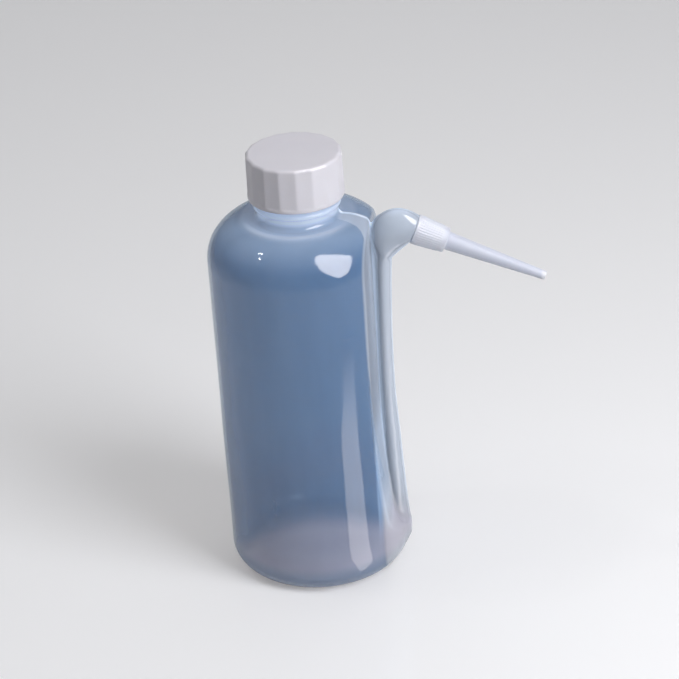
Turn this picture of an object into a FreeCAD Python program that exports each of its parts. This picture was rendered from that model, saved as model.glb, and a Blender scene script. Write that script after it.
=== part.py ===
# Side-tube wash bottle, 500 mL class, in four pieces: the bottle (shell, side tube, elbow and spout stub
# are one blow moulding), the fluted screw cap, its liner and the push-on nozzle.
#
# Frame: origin at the centre of the base, on the plane the bottle stands on. +Z up the bottle's axis,
# +X towards the side tube and nozzle. The bottle without its thread is symmetric about the XZ plane.
import FreeCAD, Part
import math
import os

import Sketcher

V = FreeCAD.Vector
UP = V(0, 0, 1)
doc = FreeCAD.newDocument("wash_bottle")

# ---------------------------------------------------------------------------------------------
# driving dimensions, millimetres and degrees; "_r" is a radius, "_z" a height
# ---------------------------------------------------------------------------------------------
DIMS = [
    # shell of revolution; base_dip is the bend's share of base_push
    ("body_r", 37.5), ("wall", 1.3), ("foot_r", 7.8),
    ("base_push", 2.2), ("base_flat_r", 6.0), ("base_bend_r", 17.0), ("base_dip", 0.62),
    ("stand_in", 25.5), ("stand_out", 29.7),
    ("shoulder_z", 140.0), ("shoulder_r", 16.4),
    ("crown_r", 21.17), ("crown_x", 17.73), ("crown_top", 157.8),
    # flat on the tube side: its plane, the long sweep below flat_z, and the toe under flat_low
    ("flat_x", 28.4), ("flat_z", 88.0), ("flat_arc", 561.0), ("flat_low", 24.0),
    ("flat_toe", 12.0), ("flat_toe_angle", 66.0), ("flat_round", 3.0),
    # neck finish
    ("neck_r", 16.4), ("bead_r", 17.6), ("bead_lo", 162.5), ("bead_hi", 164.4),
    ("finish_r", 16.0), ("rim_z", 181.1), ("rim_bevel", 0.6),
    ("neck_bore", 14.6), ("bore_flare_x", 15.52),
    ("pitch", 4.0), ("neck_thread_r", 17.3), ("neck_thread_lo", 170.2), ("neck_thread_turns", 1.5),
    # cap and liner
    ("cap_r", 19.5), ("cap_bottom", 166.2), ("cap_top", 184.7), ("cap_bore", 17.75),
    ("cap_plate", 1.5), ("cap_crest", 16.45), ("cap_thread_turns", 1.4),
    ("flutes", 18), ("flute_r", 37.0), ("flute_depth", 0.45), ("flute_rise", 1.6),
    ("liner_r", 17.3), ("liner_thick", 2.0), ("liner_gap", 0.05),
    # nozzle: where the elbow's shoulder is, then sizes along the nozzle's own axis
    ("nozzle_x", 46.2), ("nozzle_z", 151.0), ("nozzle_drop", 21.8), ("nozzle_gap", 0.1),
    ("collar_r0", 6.1), ("collar_r1", 5.12), ("collar_len", 13.3),
    ("spout_r0", 3.75), ("spout_r1", 1.8), ("nozzle_len", 55.1),
    ("bore_root", 2.55), ("bore_tip", 0.9), ("bore_land", 4.0),
    ("socket_r0", 4.95), ("socket_r1", 4.45), ("socket_len", 11.4),
    ("ribs", 36), ("rib_out", 5.83), ("rib_r", 0.3), ("rib_rise", 1.4), ("rib_len", 9.4),
    ("rib_lean", 4.45),
    # stub the nozzle pushes onto
    ("stub_len", 10.6), ("stub_r0", 4.9), ("stub_r1", 4.435), ("stub_bore", 3.3), ("stub_sink", 0.05),
    # side tube and elbow; the last two say how far short of the shoulder sections stop
    ("tube_wall", 1.0), ("elbow_end_r", 5.62), ("elbow_end_len", 0.9), ("elbow_bore_stop", 1.3),
    ("toe_ball_r", 4.25), ("toe_ball_z", 9.2), ("web_thick", 1.6),
]

# Side tube, foot upwards: height, distance out from the bottle's axis, half width along X,
# half width across.
TUBE_COLUMNS = ("rise", "out", "wide", "deep")
TUBE = [
    (9.0, 34.3, 4.2, 4.0), (14.0, 34.75, 4.05, 3.95), (24.0, 34.35, 3.6, 3.55),
    (41.0, 33.5, 3.5, 3.45), (58.0, 32.8, 3.35, 3.3), (78.0, 32.1, 3.0, 2.95),
    (104.0, 32.25, 2.85, 2.8), (124.0, 32.9, 2.95, 2.9), (135.0, 33.35, 3.25, 3.2),
]
# Elbow, round the bend: inner point x, z, outer point x, z, half width across.
ELBOW_COLUMNS = ("inner_x", "inner_z", "outer_x", "outer_z", "deep")
ELBOW = [
    (36.8, 138.3, 29.3, 140.8, 3.8), (38.4, 139.6, 28.2, 147.0, 4.5),
    (40.1, 141.1, 30.6, 154.9, 5.1), (41.8, 142.7, 37.6, 158.6, 5.4),
]
# Web between the shell and the tube and elbow: x, z.
WEB = [
    (27.6, 30.0), (33.2, 30.0), (32.4, 60.0), (32.0, 90.0),
    (32.4, 118.0), (33.4, 138.0), (33.0, 149.0), (27.6, 149.0),
]
for part, columns, table in (("tube", TUBE_COLUMNS, TUBE), ("elbow", ELBOW_COLUMNS, ELBOW)):
    for number, station in enumerate(table, start=1):
        DIMS += [("%s_%s_%d" % (part, column, number), value)
                 for column, value in zip(columns, station)]

sheet = doc.addObject("Spreadsheet::Sheet", "dims")
for row, (alias, value) in enumerate(DIMS, start=1):
    sheet.set("A%d" % row, alias)
    sheet.set("B%d" % row, str(value))
    sheet.setAlias("B%d" % row, alias)
doc.recompute()
size = {alias: float(sheet.get(alias)) for alias, _ in DIMS}


# ---------------------------------------------------------------------------------------------
# sketches and features
# ---------------------------------------------------------------------------------------------
def resolve(term):
    """Value and sheet expression of a sum such as "rim_z - 0.6". A number has no expression."""
    if not isinstance(term, str):
        return term, None
    total, sign, words = 0.0, 1, []
    for word in term.split():
        if word in ("+", "-"):
            sign = 1 if word == "+" else -1
        elif word in size:
            total += sign * size[word]
            word = "dims." + word
        else:
            total += sign * float(word)
        words.append(word)
    return total, " ".join(words)


def origin_feature(body, role):
    return [f for f in body.Origin.OriginFeatures if f.Role == role][0]


def new_body(name):
    body = doc.addObject("PartDesign::Body", name)
    doc.recompute()
    return body


def new_sketch(body, name, role):
    sketch = body.newObject("Sketcher::SketchObject", name)
    sketch.AttachmentSupport = [(origin_feature(body, role), "")]
    sketch.MapMode = "FlatFace"
    return sketch


def hold(sketch, constraint, expression):
    index = sketch.addConstraint(constraint)
    if expression:
        sketch.setExpression("Constraints[%d]" % index, expression)


def hold_point(sketch, curve, end, point):
    """Holds a curve's point by its distances from the origin, or on an axis where one is zero."""
    for axis, term, zero_line in (("X", point[0], -2), ("Y", point[1], -1)):
        distance, expression = resolve(term)
        if abs(distance) < 1e-9:
            sketch.addConstraint(Sketcher.Constraint("PointOnObject", curve, end, zero_line))
        else:
            constraint = Sketcher.Constraint("Distance" + axis, -1, 1, curve, end, distance)
            hold(sketch, constraint, expression)


def arc_through(start, through, end):
    """The arc through three points, turning anticlockwise; the flag says if it begins at start."""
    circle = Part.Circle(start, through, end)
    centre = circle.Center
    forward = (through - start).cross(end - start).z > 0
    first, last = (start, end) if forward else (end, start)
    low = math.atan2(first.y - centre.y, first.x - centre.x)
    high = math.atan2(last.y - centre.y, last.x - centre.x)
    if high < low:
        high += 2 * math.pi
    return Part.ArcOfCircle(Part.Circle(centre, UP, circle.Radius), low, high), forward


def arc_middle(centre_x, centre_y, radius, from_angle, to_angle):
    """Arc marker for an outline: the point halfway round the arc."""
    angle = math.radians((from_angle + to_angle) / 2)
    return ("arc", centre_x + radius * math.cos(angle), centre_y + radius * math.sin(angle))


def outline_sketch(body, name, points):
    """A closed outline on the XZ plane. Each point is (x, z), as numbers or sums for resolve().
    A marker ("arc", x, z) between two points joins them by an arc through it."""
    sketch = new_sketch(body, name, "XZ_Plane")
    corners, through = [], {}
    for point in points:
        if point[0] == "arc":
            through[len(corners) - 1] = point[1:]
        else:
            corners.append(point)

    def spot(point):
        return V(resolve(point[0])[0], resolve(point[1])[0], 0)

    ends = []
    for i, corner in enumerate(corners):
        start, end = spot(corner), spot(corners[(i + 1) % len(corners)])
        if i in through:
            curve, forward = arc_through(start, spot(through[i]), end)
        else:
            curve, forward = Part.LineSegment(start, end), True
        sketch.addGeometry(curve, False)
        ends.append((1, 2) if forward else (2, 1))
    for i in range(len(ends)):
        j = (i + 1) % len(ends)
        sketch.addConstraint(Sketcher.Constraint("Coincident", i, ends[i][1], j, ends[j][0]))
    for i, corner in enumerate(corners):
        hold_point(sketch, i, ends[i][0], corner)
    for i in through:
        sketch.addConstraint(Sketcher.Constraint("Radius", i, sketch.Geometry[i].Radius))
    doc.recompute()
    return sketch


def circle_sketch(body, name, centre_x, radius, offset_z, rotation=FreeCAD.Rotation()):
    """A circle with its centre on the sketch's X axis, offset from the body's XY plane."""
    sketch = new_sketch(body, name, "XY_Plane")
    sketch.AttachmentOffset = FreeCAD.Placement(V(0, 0, offset_z), rotation)
    radius_value, radius_expression = resolve(radius)
    centre = V(resolve(centre_x)[0], 0, 0)
    circle = sketch.addGeometry(Part.Circle(centre, UP, radius_value), False)
    hold_point(sketch, circle, 3, (centre_x, 0))
    hold(sketch, Sketcher.Constraint("Radius", circle, radius_value), radius_expression)
    doc.recompute()
    return sketch


def add_feature(body, kind, name, bound=None, **settings):
    """Adds a PartDesign feature; bound maps its properties to sums for resolve()."""
    feature = body.newObject("PartDesign::" + kind, name)
    for prop, value in settings.items():
        setattr(feature, prop, value)
    for prop, term in (bound or {}).items():
        value, expression = resolve(term)
        setattr(feature, prop, value)
        feature.setExpression(prop, expression)
    body.Tip = feature
    doc.recompute()
    return feature


def revolve(body, name, sketch):
    add_feature(body, "Revolution", name, Profile=sketch, ReferenceAxis=(sketch, ["V_Axis"]),
                Angle=360.0)


def pocket(body, name, sketch, **settings):
    before = body.Shape.Volume
    cut = add_feature(body, "Pocket", name, Profile=sketch, Type=0, **settings)
    if not body.Shape.Volume < before - 1:
        raise RuntimeError(name + " cut nothing")
    return cut


def polar_pattern(body, name, original, axis, count):
    pattern = add_feature(body, "PolarPattern", name, Originals=[original], Axis=axis,
                          Angle=360.0, Occurrences=int(size[count]))
    pattern.setExpression("Occurrences", "dims." + count)
    doc.recompute()


def thread(body, name, middle_z, root, crest, root_width, crest_width, turns):
    """A helical ridge on the Z axis, its root buried in the wall. middle_z is where it starts."""
    sketch = outline_sketch(body, name + "_profile", [
        (root, middle_z - root_width / 2),
        (crest, middle_z - crest_width / 2),
        (crest, middle_z + crest_width / 2),
        (root, middle_z + root_width / 2),
    ])
    add_feature(body, "AdditiveHelix", name, {"Pitch": "pitch", "Turns": turns},
                Profile=sketch, ReferenceAxis=(sketch, ["V_Axis"]),
                Mode=1,  # pitch and turns
                LeftHanded=False, Reversed=False)


# ---------------------------------------------------------------------------------------------
# bottle: shell, outside and inside
# ---------------------------------------------------------------------------------------------
def shell_outline(inside):
    """The shell's outline from the base's centre to the crown below the neck."""
    wall = size["wall"] if inside else 0.0
    less, more = (" - wall", " + wall") if inside else ("", "")
    side_r = size["body_r"] - wall
    foot_r = size["foot_r"] - wall
    shoulder_r = size["shoulder_r"] - wall
    shoulder_x, shoulder_z = side_r - shoulder_r, size["shoulder_z"]
    join = shoulder_r * math.sqrt(0.5)  # the shoulder and crown arcs meet at 45 degrees
    stand_z = "wall" if inside else 0
    return [
        (0, "base_push" + more),
        ("base_flat_r", "base_push" + more),
        ("arc", "base_bend_r", size["base_push"] * size["base_dip"] + wall),
        ("stand_in", stand_z),
        ("stand_out", stand_z),
        arc_middle(side_r - foot_r, size["foot_r"], foot_r, -90, 0),
        ("body_r" + less, "foot_r"),
        ("body_r" + less, "shoulder_z"),
        arc_middle(shoulder_x, shoulder_z, shoulder_r, 0, 45),
        (shoulder_x + join, shoulder_z + join),
        arc_middle(size["crown_x"], size["crown_top"] - size["crown_r"],
                   size["crown_r"] - wall, 45, 90),
        ("crown_x", "crown_top" + less),
    ]


NECK_OUTLINE = [
    ("arc", "neck_r + 0.39", "crown_top + 0.39"),
    ("neck_r", "crown_top + 1.33"),
    ("neck_r", "bead_lo"),
    ("bead_r", "bead_lo + 0.5"),
    ("bead_r", "bead_hi - 0.4"),
    ("finish_r", "bead_hi + 0.2"),
    ("finish_r", "rim_z - rim_bevel"),
    ("finish_r - rim_bevel", "rim_z"),
    (0, "rim_z"),
]
NECK_BORE_OUTLINE = [
    ("arc", "bore_flare_x", "crown_top - wall + 0.9"),
    ("neck_bore", "crown_top + 1.7"),
    ("neck_bore", "rim_z + 2"),
    (0, "rim_z + 2"),
]


def cut_flat(body, name, inside):
    """Takes the flat off the tube side: straight down to flat_z, then a long sweep to the foot."""
    clear_x, clear_z = 60.0, 170.0  # corner of the cut, clear of the shell
    flat_x = "flat_x - wall" if inside else "flat_x"
    low_angle = math.asin((size["flat_z"] - size["flat_low"]) / size["flat_arc"])
    toe_angle = math.radians(size["flat_toe_angle"])

    def sweep(angle):
        return (resolve(flat_x)[0] + size["flat_arc"] * (1 - math.cos(angle)),
                size["flat_z"] - size["flat_arc"] * math.sin(angle))

    low_x = sweep(low_angle)[0]

    def toe(angle):
        return (low_x + size["flat_toe"] * (math.cos(low_angle) - math.cos(angle)),
                size["flat_low"] - size["flat_toe"] * (math.sin(angle) - math.sin(low_angle)))

    end_x, end_z = toe(toe_angle)
    sketch = outline_sketch(body, name + "_profile", [
        (flat_x, clear_z),
        (flat_x, "flat_z"),
        ("arc", *sweep(low_angle / 2)),
        (low_x, "flat_low"),
        ("arc", *toe((low_angle + toe_angle) / 2)),
        (end_x, end_z),
        (clear_x, end_z),
        (clear_x, clear_z),
    ])
    return pocket(body, name, sketch, Length=100.0, Midplane=True)


def round_flat(body, name, cut, flat_x, radius):
    """Rounds the flat's long edges, its arched top on the shoulder and its toe on the foot."""
    lowest_z = 14
    edges = []
    for i, edge in enumerate(cut.Shape.Edges, start=1):
        span = edge.LastParameter - edge.FirstParameter
        spots = [edge.valueAt(edge.FirstParameter + span * k) for k in (0.1, 0.5, 0.9)]
        on_cut = all(p.x > flat_x - 0.01 and p.z > lowest_z for p in spots)
        # edges that run straight across the flat are left sharp
        crossing = abs(spots[0].y + spots[2].y) < 1e-3
        if on_cut and not crossing and max(abs(p.y) for p in spots) > 1:
            edges.append("Edge%d" % i)
    if len(edges) < 8:
        raise RuntimeError("flat has %d edges to round" % len(edges))
    add_feature(body, "Fillet", name, {"Radius": radius}, Base=(cut, edges))


def make_shell_outside():
    body = new_body("shell_outside")
    sketch = outline_sketch(body, "shell_profile", shell_outline(False) + NECK_OUTLINE)
    revolve(body, "shell_revolve", sketch)
    flat = cut_flat(body, "tube_flat", False)
    round_flat(body, "tube_flat_rounding", flat, size["flat_x"], "flat_round")
    thread(body, "neck_thread", size["neck_thread_lo"], "finish_r - 0.5", "neck_thread_r",
           root_width=2.5, crest_width=0.9, turns="neck_thread_turns")
    return body


def make_shell_inside():
    body = new_body("shell_inside")
    sketch = outline_sketch(body, "room_profile", shell_outline(True) + NECK_BORE_OUTLINE)
    revolve(body, "room_revolve", sketch)
    flat = cut_flat(body, "room_flat", True)
    round_flat(body, "room_flat_rounding", flat, size["flat_x"] - size["wall"],
               "flat_round - wall")
    return body


# ---------------------------------------------------------------------------------------------
# bottle: side tube, elbow and stub
# ---------------------------------------------------------------------------------------------
drop = math.radians(size["nozzle_drop"])
nozzle_axis = V(math.cos(drop), 0, -math.sin(drop))
nozzle_across = V(math.sin(drop), 0, math.cos(drop))
elbow_shoulder = V(size["nozzle_x"], 0, size["nozzle_z"])


def along_nozzle(offset):
    """Sends local +Z down the nozzle axis, starting offset past the elbow's shoulder."""
    return FreeCAD.Placement(elbow_shoulder + nozzle_axis * offset,
                             FreeCAD.Rotation(UP, nozzle_axis))


def oval(centre, direction, half_wide, half_deep):
    """A closed smooth curve in the plane of direction and Y, always started on the same side."""
    count = 24
    points = []
    for k in range(count):
        angle = 2 * math.pi * k / count
        points.append(centre + direction * (half_wide * math.cos(angle))
                      + V(0, half_deep * math.sin(angle), 0))
    curve = Part.BSplineCurve()
    curve.interpolate(Points=points, PeriodicFlag=True)
    return Part.Wire([curve.toShape()])


def read_stations(part, columns, table):
    """The rows of a table of stations, as the sheet holds them."""
    return [[size["%s_%s_%d" % (part, column, number)] for column in columns]
            for number in range(1, len(table) + 1)]


def tube_solid(name, shrink, stop):
    """Loft from the tube's foot round the bend. shrink takes off the wall; stop is how far
    short of the elbow's shoulder it ends."""
    sections = []
    for z, x, half_wide, half_deep in read_stations("tube", TUBE_COLUMNS, TUBE):
        sections.append(oval(V(x, 0, z), V(1, 0, 0), half_wide - shrink, half_deep - shrink))
    for inner_x, inner_z, outer_x, outer_z, half_deep in read_stations(
            "elbow", ELBOW_COLUMNS, ELBOW):
        inner, outer = V(inner_x, 0, inner_z), V(outer_x, 0, outer_z)
        sections.append(oval((inner + outer) * 0.5, (inner - outer).normalize(),
                             (inner - outer).Length / 2 - shrink, half_deep - shrink))
    end_r = size["elbow_end_r"] - shrink
    for back in (stop + size["elbow_end_len"], stop):
        sections.append(oval(elbow_shoulder - nozzle_axis * back, nozzle_across * -1,
                             end_r, end_r))
    tube = doc.addObject("Part::Feature", name)
    tube.Shape = Part.makeLoft(sections, True, False)
    return tube


def make_stub():
    """The tapered stub and its bore, which reaches back into the elbow."""
    outside = doc.addObject("Part::Cone", "stub_outside")
    outside.setExpression("Radius1", "dims.stub_r0")
    outside.setExpression("Radius2", "dims.stub_r1")
    outside.setExpression("Height", "dims.stub_len")
    outside.Placement = along_nozzle(-size["stub_sink"])
    bore = doc.addObject("Part::Cylinder", "stub_bore")
    bore.setExpression("Radius", "dims.stub_bore")
    bore.setExpression("Height", "dims.stub_len + 6")
    bore.Placement = along_nozzle(-3.0)
    doc.recompute()
    return outside, bore


def make_web():
    """The web on the parting plane that ties the tube and elbow to the shell."""
    body = new_body("web")
    sketch = outline_sketch(body, "web_profile", WEB)
    add_feature(body, "Pad", "web_pad", {"Length": "web_thick"}, Profile=sketch, Midplane=True)
    return body


def make_bottle():
    shell = make_shell_outside()
    room = make_shell_inside()
    tube_outside = tube_solid("side_tube_outside", 0.0, 0.0)
    tube_bore = tube_solid("side_tube_bore", size["tube_wall"], size["elbow_bore_stop"])
    stub_outside, stub_bore = make_stub()
    web = make_web()

    # foot of the tube, rounded off into the foot of the shell
    toe = doc.addObject("Part::Sphere", "tube_toe")
    toe.setExpression("Radius", "dims.toe_ball_r")
    toe.Placement.Base = V(size["tube_out_1"], 0, size["toe_ball_z"])

    # the elbow's shoulder is faced off square to the nozzle's axis
    beyond = doc.addObject("Part::Cylinder", "beyond_shoulder")
    beyond.Radius = 12.0
    beyond.Height = 8.0
    beyond.Placement = along_nozzle(0.0)
    tube_faced = doc.addObject("Part::Cut", "side_tube_faced")
    tube_faced.Base = tube_outside
    tube_faced.Tool = beyond

    outside = doc.addObject("Part::MultiFuse", "bottle_outside")
    outside.Shapes = [shell, tube_faced, stub_outside, web, toe]
    inside = doc.addObject("Part::MultiFuse", "bottle_room")
    inside.Shapes = [room, tube_bore, stub_bore]
    bottle = doc.addObject("Part::Cut", "bottle")
    bottle.Base = outside
    bottle.Tool = inside
    doc.recompute()
    return bottle


# ---------------------------------------------------------------------------------------------
# cap: fluted outside, threaded skirt, closed top
# ---------------------------------------------------------------------------------------------
def make_cap():
    body = new_body("cap")
    sketch = outline_sketch(body, "cap_profile", [
        ("cap_bore", "cap_bottom"),
        ("cap_r - 0.5", "cap_bottom"),
        ("cap_r", "cap_bottom + 0.7"),
        ("cap_r - 0.2", "cap_top - 0.8"),
        ("arc", "cap_r - 0.44", "cap_top - 0.24"),
        ("cap_r - 1.0", "cap_top"),
        (0, "cap_top"),
        (0, "cap_top - cap_plate"),
        ("cap_bore", "cap_top - cap_plate"),
    ])
    revolve(body, "cap_revolve", sketch)

    # shallow flutes from just above the bottom edge out through the top
    half_step = FreeCAD.Rotation(UP, 180.0 / size["flutes"])
    sketch = circle_sketch(body, "flute_profile", "cap_r + flute_r - flute_depth", "flute_r",
                           size["cap_bottom"] + size["flute_rise"], half_step)
    flute = pocket(body, "flute", sketch, Length=30.0, Reversed=True)
    polar_pattern(body, "flute_pattern", flute, (sketch, ["N_Axis"]), "flutes")

    # the ridge starts half a pitch below the neck's, on the same side, so it pulls up under it
    thread(body, "cap_thread", size["neck_thread_lo"] - size["pitch"] / 2,
           "cap_bore + 0.4", "cap_crest",
           root_width=2.4, crest_width=0.8, turns="cap_thread_turns")
    return body


def make_liner():
    """A disc between the cap's top plate and the neck's rim."""
    body = new_body("cap_liner")
    bottom_z = resolve("cap_top - cap_plate - liner_gap - liner_thick")[0]
    sketch = circle_sketch(body, "liner_profile", 0, "liner_r", bottom_z)
    add_feature(body, "Pad", "liner_pad", {"Length": "liner_thick - liner_gap"}, Profile=sketch)
    return body


# ---------------------------------------------------------------------------------------------
# nozzle: ribbed collar with a tapered socket, long tapered spout
# ---------------------------------------------------------------------------------------------
def make_nozzle():
    body = new_body("nozzle")
    sketch = outline_sketch(body, "nozzle_profile", [
        # outside, from the socket's mouth to the tip
        ("socket_r0", 0),
        ("collar_r0 - 0.15", 0),
        ("collar_r0", 0.35),
        ("collar_r1", "collar_len - 0.35"),
        ("collar_r1 - 0.35", "collar_len"),
        ("spout_r0 + 0.2", "collar_len + 0.05"),
        ("spout_r0 - 0.02", "collar_len + 0.35"),
        ("spout_r1", "nozzle_len - 0.15"),
        ("spout_r1 - 0.15", "nozzle_len"),
        # bore, back from the tip to the socket
        ("bore_tip", "nozzle_len"),
        ("bore_tip", "nozzle_len - bore_land"),
        ("bore_root", "collar_len + 1.2"),
        ("bore_root + 0.2", "socket_len + 0.1"),
        ("socket_r1", "socket_len - 0.2"),
    ])
    revolve(body, "nozzle_revolve", sketch)

    # a grip rib that leans with the collar's taper, patterned round
    lean = FreeCAD.Rotation(V(0, 1, 0), -size["rib_lean"])
    sketch = circle_sketch(body, "rib_profile", "rib_out", "rib_r", size["rib_rise"], lean)
    rib = add_feature(body, "Pad", "grip_rib", {"Length": "rib_len"}, Profile=sketch)
    polar_pattern(body, "grip_ribs", rib, (origin_feature(body, "Z_Axis"), [""]), "ribs")
    body.Placement = along_nozzle(size["nozzle_gap"])
    doc.recompute()
    return body


pieces = [make_bottle(), make_cap(), make_liner(), make_nozzle()]

# ---------------------------------------------------------------------------------------------
# one STEP file per piece
# ---------------------------------------------------------------------------------------------
bad = [o.Name for o in doc.Objects if "Invalid" in o.State or "Error" in o.State]
if bad:
    raise RuntimeError("failed objects: %s" % bad)
os.makedirs("parts", exist_ok=True)
for piece in pieces:
    shape = piece.Shape
    if shape.isNull() or not shape.isValid() or not shape.Solids:
        raise RuntimeError(piece.Name + " has no valid solid")
    if len(shape.Solids) != 1:
        raise RuntimeError("%s is %d solids" % (piece.Name, len(shape.Solids)))
    shape.exportStep("parts/%s.step" % piece.Name)
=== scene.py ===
import math
from types import SimpleNamespace

import bmesh
import bpy
import numpy as np
from mathutils import Matrix, Vector


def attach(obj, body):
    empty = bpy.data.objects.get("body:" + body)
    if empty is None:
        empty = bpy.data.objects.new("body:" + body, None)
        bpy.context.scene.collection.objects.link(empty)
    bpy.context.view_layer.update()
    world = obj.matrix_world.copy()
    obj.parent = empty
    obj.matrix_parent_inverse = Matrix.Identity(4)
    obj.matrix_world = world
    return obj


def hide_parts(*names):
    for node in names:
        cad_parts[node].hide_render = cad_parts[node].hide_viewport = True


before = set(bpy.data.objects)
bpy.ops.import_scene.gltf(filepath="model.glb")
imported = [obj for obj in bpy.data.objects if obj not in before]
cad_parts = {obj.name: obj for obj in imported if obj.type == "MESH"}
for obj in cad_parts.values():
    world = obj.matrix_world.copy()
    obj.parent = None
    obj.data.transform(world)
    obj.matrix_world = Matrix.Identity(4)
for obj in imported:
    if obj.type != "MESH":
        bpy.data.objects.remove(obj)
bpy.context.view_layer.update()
MM = 0.001

# ---------------------------------------------------------------------------------------------
# driving sizes
# ---------------------------------------------------------------------------------------------
WALL = 1.3
BODY_R = 37.5
FOOT_R = 7.8  # rounding between the side wall and the base
SHOULDER_ARC_R, SHOULDER_Z = 16.4, 140.0  # lower arc of the shoulder and its centre height
CROWN_ARC_R = 21.17  # upper, flatter arc of the shoulder
CROWN_ARC_X, CROWN_ARC_Z = 17.73, 136.63
NECK_R, NECK_BORE = 16.4, 14.6
CUT_Z = 160.0  # the polygonised wall ends here and the turned neck starts

# the flat on the tube side: a plane, a long sweep below it, a tight toe at the foot
FLAT_X = 28.35
SWEEP_R, SWEEP_Z = 561.0, 88.0
TOE_R, TOE_Z = 12.0, 24.0
TOE_ANGLE = math.asin((SWEEP_Z - TOE_Z) / SWEEP_R)
TOE_CENTRE_X = (
    FLAT_X + SWEEP_R * (1 - math.cos(TOE_ANGLE)) + TOE_R * math.cos(TOE_ANGLE)
)
TOE_CENTRE_Z = TOE_Z + TOE_R * math.sin(TOE_ANGLE)

# side tube and elbow
TUBE_WALL = 1.05
PIVOT_X, PIVOT_Z = 40.84, 137.6  # centre of the elbow's bend
ELBOW_END = np.array([46.2, 0.0, 151.0])
ELBOW_R = 5.63
NOZZLE_DROP = math.radians(21.8)
NOZZLE_DIR = np.array([math.cos(NOZZLE_DROP), 0.0, -math.sin(NOZZLE_DROP)])
NOZZLE_UP = np.array([math.sin(NOZZLE_DROP), 0.0, math.cos(NOZZLE_DROP)])

# axes of turned parts: direction of angle 0, of a quarter turn, and of the height
WORLD_AXES = np.eye(3)
NOZZLE_AXES = (NOZZLE_UP, np.cross(NOZZLE_DIR, NOZZLE_UP), NOZZLE_DIR)
ORIGIN = np.zeros(3)

# screw thread
THREAD_PITCH = 4.0
THREAD_ROOT_R, THREAD_CREST_R = 16.0, 17.3

FAR = 50.0  # a distance that takes a shape out of a union


# ---------------------------------------------------------------------------------------------
# blending helpers
# ---------------------------------------------------------------------------------------------
def curve(points):
    """A smooth curve through (x, y) points, level outside them, with central-difference slopes."""
    xs, ys = np.array(points, float).T
    slopes = np.zeros_like(ys)
    slopes[1:-1] = (ys[2:] - ys[:-2]) / (xs[2:] - xs[:-2])
    slopes[0] = (ys[1] - ys[0]) / (xs[1] - xs[0])
    slopes[-1] = (ys[-1] - ys[-2]) / (xs[-1] - xs[-2])

    def at(x):
        x = np.clip(np.asarray(x, float), xs[0], xs[-1])
        i = np.clip(np.searchsorted(xs, x) - 1, 0, len(xs) - 2)
        width = xs[i + 1] - xs[i]
        t = (x - xs[i]) / width
        return (
            ys[i] * (2 * t**3 - 3 * t**2 + 1)
            + slopes[i] * width * (t**3 - 2 * t**2 + t)
            + ys[i + 1] * (3 * t**2 - 2 * t**3)
            + slopes[i + 1] * width * (t**3 - t**2)
        )

    return at


def step(t):
    t = np.clip(t, 0, 1)
    return t * t * (3 - 2 * t)


def smooth_min(a, b, blend):
    """Union of two distances with a fillet."""
    h = np.maximum(blend - np.abs(a - b), 0) / blend
    return np.minimum(a, b) - h * h * blend / 4


def round_max(a, b, radius):
    """Intersection of two distances with a rounded edge."""
    corner = np.hypot(np.maximum(radius + a, 0), np.maximum(radius + b, 0))
    return np.minimum(-radius, np.maximum(a, b)) + corner


# ---------------------------------------------------------------------------------------------
# the bottle's walls as distance-like functions, negative inside.
# inset is 0 for the outer face and the wall thickness for the inner one.
# ---------------------------------------------------------------------------------------------
def turned_distance(r, z, inset):
    """The round shell: side, rounded foot, base with its raised middle, two-arc shoulder."""
    distance = r - (BODY_R - inset)
    low = z < FOOT_R
    past_base = r - (BODY_R - FOOT_R)
    foot = np.hypot(past_base, z - FOOT_R) - (FOOT_R - inset)
    rise = 1.7 * step((25.4 - r) / 4.2) + 0.7 * (1 - np.clip(r / 21.0, 0, 1) ** 2)
    distance = np.where(low & (past_base > 0), foot, distance)
    distance = np.where(low & (past_base <= 0), rise + inset - z, distance)

    out, above = r - (BODY_R - SHOULDER_ARC_R), z - SHOULDER_Z
    shoulder = np.hypot(out, above) - (SHOULDER_ARC_R - inset)
    crown = np.hypot(r - CROWN_ARC_X, z - CROWN_ARC_Z) - (CROWN_ARC_R - inset)
    level = z - (CROWN_ARC_Z + CROWN_ARC_R - inset)
    top = np.where(r > CROWN_ARC_X, crown, level)
    return np.where(z > SHOULDER_Z, np.where(above < out, shoulder, top), distance)


def flat_distance(x, z, inset):
    """The half space behind the flat."""
    sweep_x = FLAT_X + SWEEP_R
    sweep = SWEEP_R - np.hypot(x - sweep_x, z - SWEEP_Z)
    toe = TOE_R - np.hypot(x - TOE_CENTRE_X, z - TOE_CENTRE_Z)
    # the toe takes over below its start, as seen from the sweep's centre
    angle = np.arctan2(SWEEP_Z - z, sweep_x - x)
    curved = np.where(angle < TOE_ANGLE, sweep, toe)
    return np.where(z >= SWEEP_Z, x - FLAT_X, curved) + inset


def flat_x(z):
    """Place of the flat's surface at a height."""
    z = np.asarray(z, float)
    sweep = FLAT_X + SWEEP_R - np.sqrt(np.maximum(SWEEP_R**2 - (SWEEP_Z - z) ** 2, 0))
    drop = np.minimum(TOE_CENTRE_Z - z, TOE_R - 0.01)
    toe = TOE_CENTRE_X - np.sqrt(np.maximum(TOE_R**2 - drop**2, 0))
    return np.where(z >= SWEEP_Z, FLAT_X, np.where(z > TOE_Z, sweep, toe))


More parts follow.
